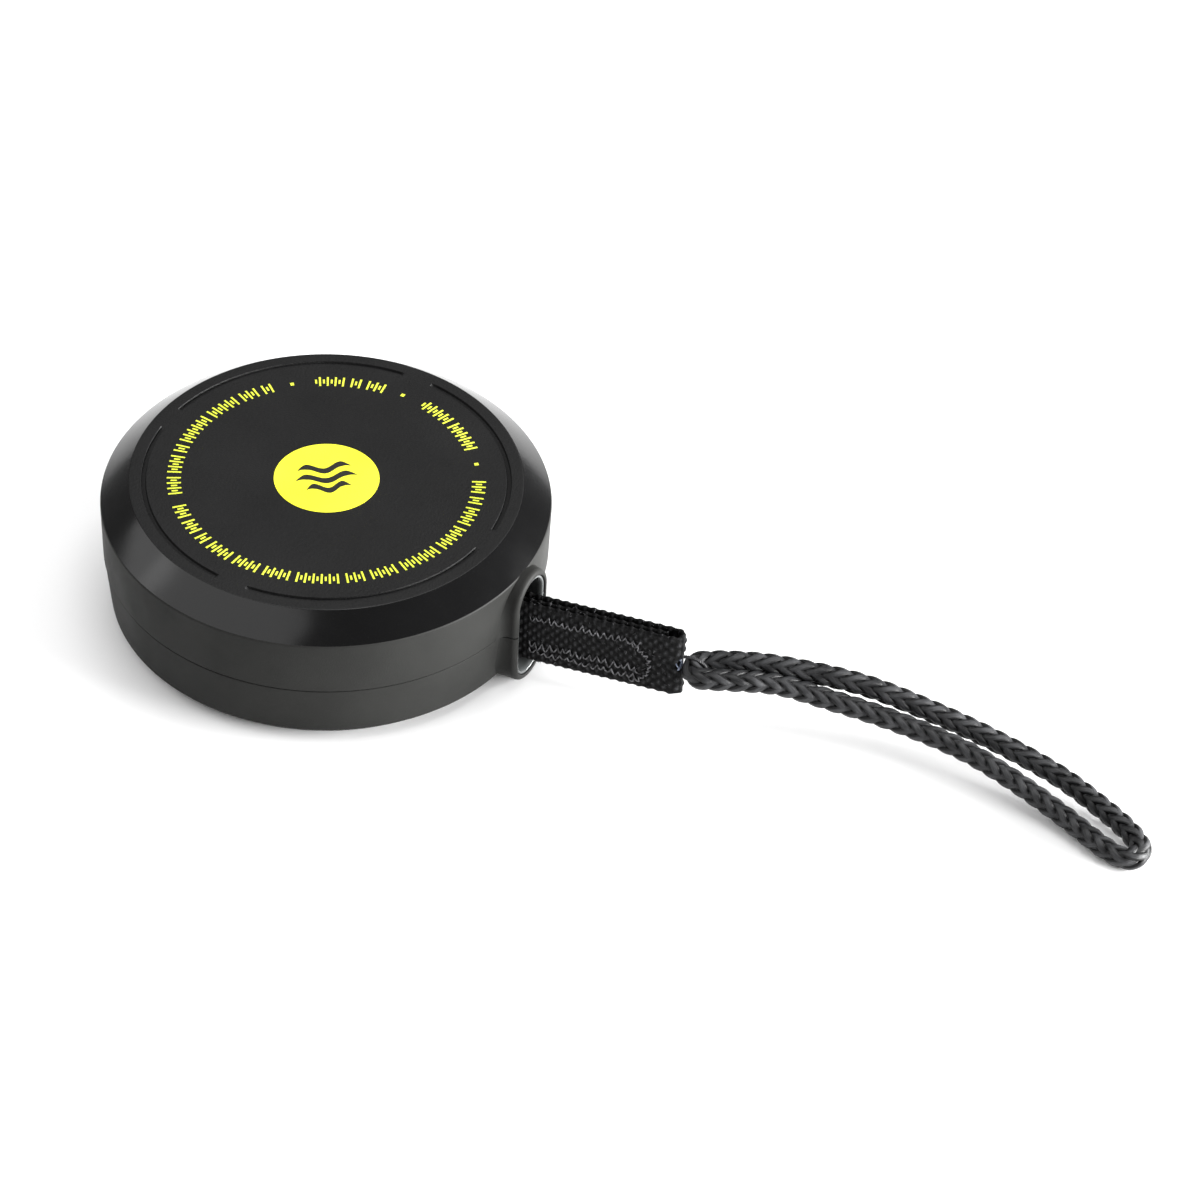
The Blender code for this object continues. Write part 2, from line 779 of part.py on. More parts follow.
def pull_loop(material):
    curve = bpy.data.curves.new("pull_loop", "CURVE")
    curve.dimensions = "3D"
    curve.bevel_depth = cord_radius
    curve.bevel_resolution = 3
    curve.use_fill_caps = True
    spline = curve.splines.new("POLY")
    lying = cord_radius + cord_rest_gap
    rise = loop_centre.z - lying
    route = []
    for x, y, share in loop_route:
        route.append((x * cord_radius, y * cord_radius, lying - loop_centre.z + share * rise))
    points = smooth_line(route, loop_samples)
    spline.points.add(len(points) - 1)
    for target, point in zip(spline.points, points):
        target.co = (*point, 1)
    obj = new_object("pull_loop", curve, material)
    obj.location = loop_centre
    return obj


clear_scene()
parts = new_collection("retractable_leash_reel")
cutters = new_collection("cutters")
shell = new_material("black_shell", (0.028, 0.029, 0.030), 0.5)
liner = new_material("grey_liner", (0.10, 0.11, 0.11), 0.3)
web = new_material("black_webbing", (0.012, 0.012, 0.014), 0.85)
braid = new_material("waxed_cord", (0.035, 0.036, 0.040), 0.45)
thread = new_material("pale_thread", (0.55, 0.62, 0.75), 0.5)
acetal = new_material("white_acetal", (0.75, 0.74, 0.70), 0.35)
nylon = new_material("grey_nylon", (0.16, 0.17, 0.18), 0.5)
stainless = new_material("stainless_steel", (0.62, 0.62, 0.61), 0.28, 1)
spring_steel = new_material("blued_spring_steel", (0.18, 0.20, 0.26), 0.3, 1)

hollow = case_cavity()
neck = neck_block()
tunnel = neck_tunnel()
upper_case(shell, hollow, neck, tunnel)
lower_case(shell, hollow, neck, tunnel)
port_liner(liner)
case_screws(stainless)
axle(stainless)
washers_and_clip(stainless, spring_steel)
bushes(acetal)
spool(nylon)
power_spring(spring_steel)
spring_cover(nylon)
strap_anchor_pin(stainless)
wound_webbing(web)
webbing_run(web)
webbing_end(web)
thread_torus("eye_thread", thread_radius, thread)
pull_loop(braid)
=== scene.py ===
# Retractable leash reel: the look of the case, the stitched strap and the braided pull loop.
import math
import random

import bmesh
import bpy
import numpy as np
from mathutils import Matrix, Quaternion, Vector


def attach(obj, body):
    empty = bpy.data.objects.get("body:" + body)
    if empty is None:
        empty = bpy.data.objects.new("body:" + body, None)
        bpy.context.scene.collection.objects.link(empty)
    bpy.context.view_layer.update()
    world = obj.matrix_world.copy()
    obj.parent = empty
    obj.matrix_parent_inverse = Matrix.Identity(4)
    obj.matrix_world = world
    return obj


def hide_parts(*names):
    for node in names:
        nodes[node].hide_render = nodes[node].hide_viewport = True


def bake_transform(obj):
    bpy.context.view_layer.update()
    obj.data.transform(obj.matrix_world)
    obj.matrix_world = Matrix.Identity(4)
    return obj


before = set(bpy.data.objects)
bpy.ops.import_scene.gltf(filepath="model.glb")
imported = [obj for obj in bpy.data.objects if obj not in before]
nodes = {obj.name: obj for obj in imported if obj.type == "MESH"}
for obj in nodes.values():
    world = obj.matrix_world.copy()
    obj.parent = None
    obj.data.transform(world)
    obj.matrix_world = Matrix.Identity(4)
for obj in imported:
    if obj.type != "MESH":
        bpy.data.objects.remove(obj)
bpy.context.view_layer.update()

chance = random.Random(7)
print("frame loaded")


def meshPiece(name, points, faces, materials, body=None, tags=None, smooth=True):
    mesh = bpy.data.meshes.new(name)
    mesh.from_pydata([tuple(p) for p in points], [], [tuple(int(k) for k in f) for f in faces])
    for material in materials:
        mesh.materials.append(material)
    if tags is not None:
        mesh.polygons.foreach_set("material_index", tags)
    if smooth:
        mesh.shade_smooth()
    mesh.update()
    piece = bpy.data.objects.new(name, mesh)
    bpy.context.scene.collection.objects.link(piece)
    if body:
        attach(piece, body)
    return piece


def turnOut(piece):
    bm = bmesh.new()
    bm.from_mesh(piece.data)
    bmesh.ops.recalc_face_normals(bm, faces=bm.faces)
    bm.to_mesh(piece.data)
    bm.free()


def gridFaces(rows, columns, first=0, closeRows=False, closeColumns=False):
    faces = []
    for r in range(rows if closeRows else rows - 1):
        for c in range(columns if closeColumns else columns - 1):
            a = first + r * columns + c
            b = first + r * columns + (c + 1) % columns
            d = first + ((r + 1) % rows) * columns + c
            e = first + ((r + 1) % rows) * columns + (c + 1) % columns
            faces.append((a, b, e, d))
    return faces


def smoothLine(route, samples):
    route = [Vector(p) for p in route]
    route = [route[0] * 2 - route[1]] + route + [route[-1] * 2 - route[-2]]
    line = []
    for a, b, c, d in zip(route, route[1:], route[2:], route[3:]):
        for k in range(samples):
            t = k / samples
            bend = b * 2 + (c - a) * t + (a * 2 - b * 5 + c * 4 - d) * t**2 + (b * 3 - a - c * 3 + d) * t**3
            line.append(bend / 2)
    line.append(route[-2])
    return np.array([tuple(p) for p in line])


def evenLine(line, count):
    line = np.asarray(line, float)
    steps = np.linalg.norm(np.diff(line, axis=0), axis=1)
    run = np.concatenate([[0], np.cumsum(steps)])
    spots = np.linspace(0, run[-1], count)
    return np.stack([np.interp(spots, run, line[:, k]) for k in range(line.shape[1])], axis=1), run[-1]


def unit(v):
    return v / np.linalg.norm(v, axis=-1, keepdims=True)


def tube(line, radius, sides=6, closed=False):
    line = np.asarray(line, float)
    way = np.gradient(line, axis=0)
    if closed:
        way = np.roll(line, -1, axis=0) - np.roll(line, 1, axis=0)
    way = unit(way)
    lift = np.tile([0.0, 0.0, 1.0], (len(line), 1))
    lift[np.abs(way[:, 2]) > 0.9] = (1.0, 0.0, 0.0)
    side = unit(np.cross(way, lift))
    up = np.cross(side, way)
    turn = np.arange(sides) * math.tau / sides
    ring = radius * (np.cos(turn)[None, :, None] * side[:, None] + np.sin(turn)[None, :, None] * up[:, None])
    points = (line[:, None] + ring).reshape(-1, 3)
    faces = gridFaces(len(line), sides, closeRows=closed, closeColumns=True)
    if not closed:
        faces.append(tuple(range(sides))[::-1])
        faces.append(tuple(range((len(line) - 1) * sides, len(line) * sides)))
    return points, faces


def joinAll(parts):
    points, faces, first = [], [], 0
    for p, f in parts:
        points.append(np.asarray(p, float))
        faces += [tuple(k + first for k in face) for face in f]
        first += len(p)
    return np.concatenate(points), faces


class Finish:
    def __init__(self, name, colour, roughness, metallic=0.0, specular=0.5):
        self.material = bpy.data.materials.new(name)
        self.material.use_nodes = True
        self.tree = self.material.node_tree
        self.shader = self.tree.nodes["Principled BSDF"]
        self.shader.inputs["Base Color"].default_value = (*colour, 1)
        self.shader.inputs["Roughness"].default_value = roughness
        self.shader.inputs["Metallic"].default_value = metallic
        self.shader.inputs["Specular IOR Level"].default_value = specular
        self.place = self.add("ShaderNodeTexCoord").outputs["Object"]

    def add(self, kind, **values):
        node = self.tree.nodes.new(kind)
        for key, value in values.items():
            setattr(node, key, value)
        return node

    def join(self, a, b):
        self.tree.links.new(a, b)

    def noise(self, scale, detail=2.0, place=None, stretch=None, rough=0.5, turn=0.0):
        spot = place or self.place
        if stretch:
            mapping = self.add("ShaderNodeMapping")
            mapping.inputs["Scale"].default_value = stretch
            mapping.inputs["Rotation"].default_value = (0, 0, turn)
            self.join(spot, mapping.inputs["Vector"])
            spot = mapping.outputs["Vector"]
        node = self.add("ShaderNodeTexNoise")
        node.inputs["Scale"].default_value = scale
        node.inputs["Detail"].default_value = detail
        node.inputs["Roughness"].default_value = rough
        self.join(spot, node.inputs["Vector"])
        return node.outputs["Fac"]

    def span(self, value, low, high, fromLow=0.3, fromHigh=0.7):
        node = self.add("ShaderNodeMapRange")
        node.inputs["From Min"].default_value = fromLow
        node.inputs["From Max"].default_value = fromHigh
        node.inputs["To Min"].default_value = low
        node.inputs["To Max"].default_value = high
        self.join(value, node.inputs["Value"])
        return node.outputs["Result"]

    def maths(self, operation, a, b):
        node = self.add("ShaderNodeMath", operation=operation)
        for k, v in enumerate((a, b)):
            if isinstance(v, (int, float)):
                node.inputs[k].default_value = v
            else:
                self.join(v, node.inputs[k])
        return node.outputs["Value"]

    def colour(self, value, first, second):
        node = self.add("ShaderNodeMix", data_type="RGBA")
        node.inputs[6].default_value = (*first, 1)
        node.inputs[7].default_value = (*second, 1)
        self.join(value, node.inputs[0])
        self.join(node.outputs[2], self.shader.inputs["Base Color"])
        return node.outputs[2]

    def rough(self, value, low, high, fromLow=0.3, fromHigh=0.7):
        self.join(self.span(value, low, high, fromLow, fromHigh), self.shader.inputs["Roughness"])

    def bump(self, height, depth, after=None):
        node = self.add("ShaderNodeBump")
        node.inputs["Strength"].default_value = 1.0
        node.inputs["Distance"].default_value = depth
        self.join(height, node.inputs["Height"])
        if after is not None:
            self.join(after, node.inputs["Normal"])
        self.join(node.outputs["Normal"], self.shader.inputs["Normal"])
        return node.outputs["Normal"]


def moulded(name, dark, light, rough, grain, depth, specular=0.5):
    made = Finish(name, dark, rough[0], specular=specular)
    made.colour(made.span(made.noise(45, 4), 0, 1), dark, light)
    made.rough(made.noise(110, 5), *rough)
    made.bump(made.noise(grain, 3, rough=0.6), depth)
    return made


def metal(name, dark, light, rough, stretch):
    made = Finish(name, dark, rough[0], metallic=1.0)
    made.colour(made.span(made.noise(300, 3, stretch=stretch), 0, 1), dark, light)
    made.rough(made.noise(900, 4, stretch=stretch), *rough)
    made.bump(made.noise(1500, 2, stretch=stretch), 0.00002)
    return made


# each moulded finish: dark and light colour, roughness from and to, grain size, grain depth in metres, shine
# face, slope and wall are one black plastic; their colours are set apart as painted light and shade: the wall
# painted lighter, the face and most of all the slope painted darker
faceGrain = moulded(
    "faceGrain", (0.0034, 0.0034, 0.0035), (0.0058, 0.0058, 0.0059), (0.46, 0.60), 2600, 0.00012, 0.24
)
chamferGloss = moulded(
    "chamferGloss", (0.0014, 0.0014, 0.0015), (0.0020, 0.0020, 0.0021), (0.14, 0.20), 700, 0.000004, 0.33
)
wallSatin = moulded(
    "wallSatin", (0.0150, 0.0152, 0.0145), (0.0215, 0.0217, 0.0206), (0.46, 0.58), 3000, 0.00003, 0.08
)
# the liner's lighter grey is partly its own colour and partly a painted highlight along the port's inner edge
linerGloss = moulded("linerGloss", (0.060, 0.064, 0.064), (0.085, 0.09, 0.09), (0.16, 0.28), 1200, 0.00001)
innerNylon = moulded("innerNylon", (0.10, 0.105, 0.11), (0.15, 0.155, 0.16), (0.42, 0.58), 1800, 0.00003)
bushAcetal = moulded("bushAcetal", (0.62, 0.61, 0.57), (0.74, 0.73, 0.69), (0.30, 0.42), 1500, 0.00001)
turnedSteel = metal("turnedSteel", (0.50, 0.50, 0.49), (0.66, 0.66, 0.65), (0.22, 0.36), (1, 1, 14))
bluedSteel = metal("bluedSteel", (0.10, 0.12, 0.17), (0.22, 0.24, 0.30), (0.24, 0.40), (1, 1, 9))

discInk = moulded("discInk", (0.94, 0.93, 0.035), (1.0, 0.98, 0.055), (0.42, 0.52), 2600, 0.00005, 0.3)
markInk = moulded("markInk", (0.62, 0.70, 0.045), (0.78, 0.84, 0.07), (0.42, 0.52), 2600, 0.00005, 0.3)
iconInk = moulded("iconInk", (0.012, 0.012, 0.010), (0.018, 0.018, 0.015), (0.42, 0.52), 2600, 0.00005, 0.3)

webbingYarn = Finish("webbingYarn", (0.006, 0.006, 0.007), 0.8, specular=0.12)
crest = webbingYarn.add("ShaderNodeAttribute", attribute_name="weaveCrest").outputs["Fac"]
# painted highlight specks, standing in for glints on the weave's crests
glintFleck = webbingYarn.span(webbingYarn.noise(2600, 4, rough=0.7), 0.08, 1, 0.42, 0.70)
weaveHollowShade = webbingYarn.maths("POWER", crest, 2.8)  # painted shade in the weave's hollows: only its crests get colour
weaveShadeAndGlint = webbingYarn.maths("MULTIPLY", glintFleck, weaveHollowShade)
# painted highlight flecks on the crests and painted shade in the hollows
webbingYarn.colour(weaveShadeAndGlint, (0.0005, 0.0005, 0.0006), (0.078, 0.080, 0.085))
webbingYarn.rough(webbingYarn.noise(1500, 3), 0.45, 0.85)
webbingYarn.bump(webbingYarn.noise(5200, 3, stretch=(1, 1, 0.35)), 0.00012)
webbingYarn.shader.inputs["Sheen Weight"].default_value = 0.01
webbingYarn.shader.inputs["Sheen Roughness"].default_value = 0.5

stitchYarn = Finish("stitchYarn", (0.03, 0.03, 0.033), 0.5)
stitchShade = stitchYarn.span(stitchYarn.noise(1800, 3), 0, 1, 0.4, 0.65)
stitchYarn.colour(stitchShade, (0.008, 0.008, 0.009), (0.17, 0.17, 0.18))
stitchYarn.rough(stitchYarn.noise(3000, 2), 0.35, 0.6)
stitchYarn.bump(stitchYarn.noise(6000, 2), 0.00005)

waxedThread = Finish("waxedThread", (0.012, 0.012, 0.013), 0.45)
threadShade = waxedThread.span(waxedThread.noise(1500, 3), 0, 1)
waxedThread.colour(threadShade, (0.006, 0.006, 0.007), (0.03, 0.03, 0.033))
waxedThread.rough(waxedThread.noise(2500, 2), 0.35, 0.55)
waxedThread.bump(waxedThread.noise(5000, 2), 0.00005)

eyeYarn = Finish("eyeYarn", (0.50, 0.57, 0.72), 0.45)
eyeShade = eyeYarn.span(eyeYarn.noise(1500, 3), 0, 1)
eyeYarn.colour(eyeShade, (0.10, 0.13, 0.21), (0.46, 0.52, 0.66))
eyeYarn.rough(eyeYarn.noise(2500, 2), 0.35, 0.55)
eyeYarn.bump(eyeYarn.noise(5000, 2), 0.00006)

waxedYarn = Finish("waxedYarn", (0.02, 0.02, 0.022), 0.44, specular=0.28)
strand = waxedYarn.add("ShaderNodeAttribute", attribute_name="strandRun").outputs["Vector"]
strandParts = waxedYarn.add("ShaderNodeSeparateXYZ")
waxedYarn.join(strand, strandParts.inputs[0])
filament = waxedYarn.noise(1.0, 3, place=strand, stretch=(5, 22, 0), rough=0.6)  # runs along each strand
patches = waxedYarn.noise(260, 3)
waxy = waxedYarn.maths(
    "MULTIPLY", waxedYarn.span(filament, 0.2, 1, 0.3, 0.75), waxedYarn.span(patches, 0.25, 1, 0.35, 0.65)
)
crown = waxedYarn.span(strandParts.outputs[2], 1, 0.03, 0.02, 0.5)  # painted shade down the sides of a strand, where the strands meet
waxedYarn.colour(waxedYarn.maths("MULTIPLY", waxy, crown), (0.0012, 0.0012, 0.0015), (0.074, 0.075, 0.079))
waxedYarn.rough(patches, 0.36, 0.52)
waxedYarn.bump(filament, 0.00005)
print("finishes ready")


view = {
    "aim": (0.0536, 0.0169, 0.010),
    "distance": 1.0018,
    "turn": 26.31,  # degrees round the case
    "height": 41.65,  # degrees above the floor
    "roll": 2.97,
    "lens": 150,
    "sensor": 36,
}


def placeCamera():
    turn, height = math.radians(view["turn"]), math.radians(view["height"])
    back = Vector((math.sin(turn) * math.cos(height), -math.cos(turn) * math.cos(height), math.sin(height)))
    camera = bpy.data.objects.new("camera", bpy.data.cameras.new("camera"))
    camera.data.lens = view["lens"]
    camera.data.sensor_width = view["sensor"]
    camera.data.clip_start = 0.05
    camera.data.clip_end = 20
    camera.rotation_mode = "QUATERNION"
    roll = Quaternion((0, 0, 1), math.radians(view["roll"]))
    camera.rotation_quaternion = (-back).to_track_quat("-Z", "Y") @ roll
    camera.location = Vector(view["aim"]) + back * view["distance"]
    bpy.context.scene.collection.objects.link(camera)
    bpy.context.scene.camera = camera


placeCamera()


loop = {
    "route": [
        (0.07976, 0.00645, 0.0123), (0.08034, 0.00822, 0.0123), (0.08215, 0.00945, 0.0124),
        (0.08655, 0.01118, 0.0131), (0.09490, 0.01462, 0.0131), (0.1100, 0.0192, 0.0120),
        (0.1235, 0.0220, 0.0094), (0.1375, 0.0237, 0.0065), (0.1518, 0.0235, 0.0040),
        (0.1623, 0.0210, 0.0027), (0.1700, 0.0177, 0.0024), (0.1740, 0.0143, 0.0023),
        (0.1728, 0.0107, 0.0023), (0.1675, 0.0112, 0.0024), (0.1566, 0.0146, 0.0033),
        (0.1442, 0.0170, 0.0051), (0.1331, 0.0178, 0.0068), (0.1190, 0.0165, 0.0086),
        (0.1057, 0.01397, 0.01002), (0.09626, 0.01112, 0.0116), (0.08830, 0.00695, 0.0122),
        (0.08322, 0.00440, 0.0123), (0.08100, 0.00470, 0.0123), (0.07981, 0.00615, 0.0123),
    ],
    "diameter": 0.0044,
    "pitch": 0.0204,  # length of one full turn of a strand
    "ringRadius": 0.00146,  # strand centres from the cord's middle
    "wave": 0.00030,  # over and under
    "halfWidth": 0.00080,
    "halfThickness": 0.00052,
    "core": 0.00150,
    "strandsEachWay": 6,
    "step": 0.00042,
    "sides": 10,
    "squareness": 0.8,
    "floorGap": 0.00005,
}


def braidedLoop():
    fine = smoothLine(loop["route"], 12)
    length = np.linalg.norm(np.diff(fine, axis=0), axis=1).sum()
    count = int(round(length / loop["step"]))
    line, length = evenLine(fine, count + 1)
    line = line[:-1]
    way = unit(np.roll(line, -1, axis=0) - np.roll(line, 1, axis=0))
    across = np.zeros_like(line)
    across[0] = unit(np.cross(way[0], (0, 0, 1.0)))
    for k in range(1, count):
        carried = across[k - 1] - way[k] * (across[k - 1] @ way[k])
        across[k] = unit(carried)
    last = unit(across[-1] - way[0] * (across[-1] @ way[0]))
    slip = math.atan2(np.cross(last, across[0]) @ way[0], last @ across[0])  # closes the twist round the loop
    lift = np.cross(way, across)
    turns = max(1, round(length / loop["pitch"]))
    share = np.arange(count) / count
    n = loop["strandsEachWay"]
    sides = loop["sides"]
    parts, runs = [], []
    for direction in (1, -1):
        for k in range(n):
            base = math.tau * (k + (0.5 if direction < 0 else 0)) / n
            angle = base + direction * math.tau * turns * share
            seen = angle + slip * share
            weave = np.cos(3 * angle + 0.7)
            weave = np.sign(weave) * np.abs(weave) ** 0.75
            radius = loop["ringRadius"] + direction * loop["wave"] * weave
            out = np.cos(seen)[:, None] * across + np.sin(seen)[:, None] * lift
            centre = line + out * radius[:, None]
            along = unit(np.roll(centre, -1, axis=0) - np.roll(centre, 1, axis=0))
            side = unit(np.cross(along, out))
            up = np.cross(side, along)
            ring = np.arange(sides) * math.tau / sides
            c, s = np.cos(ring), np.sin(ring)
            wide = np.sign(c) * np.abs(c) ** loop["squareness"] * loop["halfWidth"]
            thick = np.sign(s) * np.abs(s) ** loop["squareness"] * loop["halfThickness"]
            section = wide[None, :, None] * side[:, None] + thick[None, :, None] * up[:, None]
            points = centre[:, None] + section
            points[..., 2] = np.maximum(points[..., 2], loop["floorGap"])
            faces = gridFaces(count, sides, closeRows=True, closeColumns=True)
            parts.append((points.reshape(-1, 3), faces))
            run = np.zeros((count, sides, 3))  # along, round and across the strand, for the waxed finish
            run[:, :, 0] = (share * turns * 2.0)[:, None]
            run[:, :, 1] = (c * 0.5)[None, :] + k * 3.1 + direction
            # across the strand: the waxed finish paints shade from this towards the strand's sides
            run[:, :, 2] = (np.abs(c) ** 3)[None, :]
            runs.append(run.reshape(-1, 3))
    core = tube(line, loop["core"], 12, closed=True)
    core[0][:, 2] = np.maximum(core[0][:, 2], loop["floorGap"] * 2)
    parts.append(core)
    # the core is painted in full shade
    runs.append(np.tile([0.0, 0.0, 1.0], (len(core[0]), 1)))
    points, faces = joinAll(parts)
    piece = meshPiece("braided_loop", points, faces, [waxedYarn.material])
    turnOut(piece)
    attribute = piece.data.attributes.new("strandRun", "FLOAT_VECTOR", "POINT")
    attribute.data.foreach_set("vector", np.concatenate(runs).astype(np.float32).ravel())
    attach(piece, "loop")
    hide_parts("pull_loop")
    print("pull loop", round(length, 4), "m")


braidedLoop()


strap = {
    "start": Vector((0.046, 0, 0.0128)),
    "yaw": math.radians(10.6),
    "inside": 0.0026,  # how far it reaches back into the slot
    "length": 0.0318,
    "width": 0.015,
    "thickness": 0.0040,  # both layers and the tape between them
    "layer": 0.0011,
    "gap": 0.00004,
    "step": 0.00012,
    "rib": 0.00095,
    "ribDepth": 0.00034,
    "column": 0.00115,
    "swell": 0.0012,  # the fold is a little fuller than the strap
    "dimple": 0.0020,  # where the eye thread pulls the fold in
    "scallop": 0.016,
}
strapWay = Vector((math.cos(strap["yaw"]), math.sin(strap["yaw"]), 0))
strapSide = Vector((-math.sin(strap["yaw"]), math.cos(strap["yaw"]), 0))


def strapPoints(local):
    local = np.asarray(local, float)
    way, side, up = np.array(strapWay), np.array(strapSide), np.array((0, 0, 1.0))
    return np.array(strap["start"]) + local[..., :1] * way + local[..., 1:2] * side + local[..., 2:3] * up


eye = {
    "centre": (0.08272, 0.00687, 0.0123),
    "ring": 0.0034,
    "squash": 0.72,
    "lay": 0.00018,
    "yarn": 0.00021,
    "twists": 14,
    "strands": 3,
}


def eyeThread():
    centre = np.array(eye["centre"]) - np.array(strapWay) * eye["ring"]
    turn = np.linspace(0, math.tau, 160, endpoint=False)
    out = np.cos(turn)[:, None] * np.array(strapWay) + np.sin(turn)[:, None] * np.array((0, 0, eye["squash"]))
    parts = []
    for k in range(eye["strands"]):
        lay = turn * eye["twists"] + math.tau * k / eye["strands"]
        line = centre + out * (eye["ring"] + eye["lay"] * np.cos(lay))[:, None]
        line = line + np.array(strapSide) * (eye["lay"] * np.sin(lay))[:, None]
        parts.append(tube(line, eye["yarn"], 8, closed=True))
    piece = meshPiece("eye_thread_ring", *joinAll(parts), [waxedThread.material])
    turnOut(piece)
    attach(piece, "strap")
    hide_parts("eye_thread")


whipping = {
    "tall": 0.0026,
    "yarn": 0.00013,
    "places": (-40, -24, -8, 6, 20, 36),  # degrees round the fold
    "slant": 16,
    "proud": 0.00010,
    "tuck": 0.0007,  # the ends go into the webbing
    "uneven": 0.00016,
}


def eyeWhipping():
    half = strap["thickness"] / 2
    bend = strap["length"] - half + strap["swell"] * 0.4
    parts = []
    for k, place in enumerate(whipping["places"]):
        slant = whipping["slant"] * (1 if k % 2 else -1)
        line = []
        for t in np.linspace(-1, 1, 15):
            a = math.radians(place + slant * t)
            reach = half + whipping["proud"] - whipping["tuck"] * t**6
            z = t * whipping["tall"] / 2 + whipping["uneven"] * (k % 3 - 1)
            line.append((bend + reach * math.cos(a), reach * math.sin(a), z))
        parts.append(tube(line, whipping["yarn"], 6))
    points, faces = joinAll(parts)
    piece = meshPiece("eye_whipping", strapPoints(points), faces, [eyeYarn.material])
    turnOut(piece)
    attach(piece, "strap")


eyeThread()
eyeWhipping()


def weave(u, v, width):
    rib = np.abs(np.cos(math.pi * u / strap["rib"])) ** 0.8
    cross = np.cos(math.pi * u / strap["rib"]) * np.cos(math.pi * v / strap["column"])
    edge = np.clip((width / 2 - np.abs(v)) / 0.0012, 0, 1)
    return 0.5 * rib + 0.5 * cross * edge


def webbingSlab(line, width, thickness, sideCount=48, phase=0.0, middle=0.0):
    # a woven tape standing on edge, along a line seen from above
    line = np.asarray(line, float)
    way = unit(np.gradient(line, axis=0))
    side = np.stack([-way[:, 1], way[:, 0]], axis=1)
    run = np.concatenate([[0], np.cumsum(np.linalg.norm(np.diff(line, axis=0), axis=1))]) + phase
    v = np.linspace(-width / 2, width / 2, sideCount)
    overEdge = np.clip(np.abs(v) - (width / 2 - thickness * 0.5), 0, None) / (thickness * 0.5)
    crown = np.sqrt(np.clip(1 - overEdge**2, 0, 1))
    scallop = 1 + strap["scallop"] * np.cos(math.pi * run / strap["rib"])
    height = weave(run[:, None], v[None, :], width)
    lift = (thickness / 2 + strap["ribDepth"] * (height - 0.8)) * crown[None, :]
    lift = np.maximum(lift, 0.00004)
    sheets, crests = [], []
    for sign in (1, -1):
        x = line[:, 0][:, None] + sign * side[:, 0][:, None] * lift
        y = line[:, 1][:, None] + sign * side[:, 1][:, None] * lift
        z = middle + v[None, :] * scallop[:, None] + np.zeros_like(x)
        sheet = np.stack([x, y, z], axis=2)
        sheets.append(sheet if sign > 0 else sheet[:, ::-1])
        crests.append(height if sign > 0 else height[:, ::-1])
    loops = np.concatenate(sheets, axis=1)
    crest = np.clip(np.concatenate(crests, axis=1), 0, 1)
    count, sides = loops.shape[:2]
    faces = gridFaces(count, sides, closeColumns=True)
    for end in (0, count - 1):
        for k in range(sideCount - 1):
            a, b = end * sides + k, end * sides + k + 1
            d, e = end * sides + sides - 1 - k, end * sides + sides - 2 - k
            faces.append((a, d, e, b) if end == 0 else (a, b, e, d))
    return loops.reshape(-1, 3), faces, crest.ravel()


def webbingPiece(name, points, faces, crest):
    piece = meshPiece(name, points, faces, [webbingYarn.material])
    turnOut(piece)
    attribute = piece.data.attributes.new("weaveCrest", "FLOAT", "POINT")
    attribute.data.foreach_set("value", crest.astype(np.float32))
    return piece


def strapPiece():
    half = strap["thickness"] / 2 - strap["layer"] / 2 - strap["gap"]
    bend = strap["length"] - strap["thickness"] / 2
    step = strap["step"]
    out = [(-strap["inside"] + step * k, -half) for k in range(int((bend + strap["inside"]) / step))]
    arc = [(bend + half * math.sin(a), -half * math.cos(a)) for a in np.linspace(0, math.pi, 34)]
    fold = out + arc + [(x, half) for x, y in out[::-1]]
    points, faces, crest = webbingSlab(fold, strap["width"], strap["layer"])
    blend = strap["swell"] * 8
    near = np.clip((points[:, 0] - strap["length"] + blend) / blend, 0, 1)
    nip = 1 - 0.6 * np.exp(-((points[:, 2] / strap["dimple"]) ** 2))
    points[:, 0] += strap["swell"] * near**2 * nip
    piece = webbingPiece("strap_fold", strapPoints(points), faces, crest)
    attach(piece, "strap")
    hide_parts("webbing_end")
    inner = [(x, 0) for x, y in out if x < bend - 0.0006]  # the middle layer ends inside the fold
    points, faces, crest = webbingSlab(inner, strap["width"] - 0.0004, strap["layer"], 40, 0.0004)
    core = webbingPiece("strap_core", strapPoints(points), faces, crest)
    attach(core, "strap")


stitching = {
    "yarn": 0.00014,
    "sink": 0.00032,  # how far each stitch dives at its ends
    "rows": ((0.0040, 0.0009), (-0.0030, 0.0010), (-0.0048, 0.0008)),  # height, reach of the zigzag
    "from": 0.0012,
    "to": 0.0245,
    "wander": 0.00022,
    "spread": 0.00016,
    "arcCentre": (0.0205, -0.0014),
    "arcReach": (0.0056, 0.0050),
    "arcSweep": 144,
    "arcStitches": 22,
}


def stitchLine(spots, face, loft=0.0001):
    y = face * (strap["thickness"] / 2 + loft)
    sink = face * stitching["sink"]
    line = []
    for a, b in zip(spots, spots[1:]):
        for k in range(6):
            t = k / 6
            hump = math.sin(math.pi * t) ** 0.6
            line.append((a[0] + (b[0] - a[0]) * t, y - sink * (1 - hump), a[1] + (b[1] - a[1]) * t))
    line.append((spots[-1][0], y - sink, spots[-1][1]))
    return tube(line, stitching["yarn"], 6)


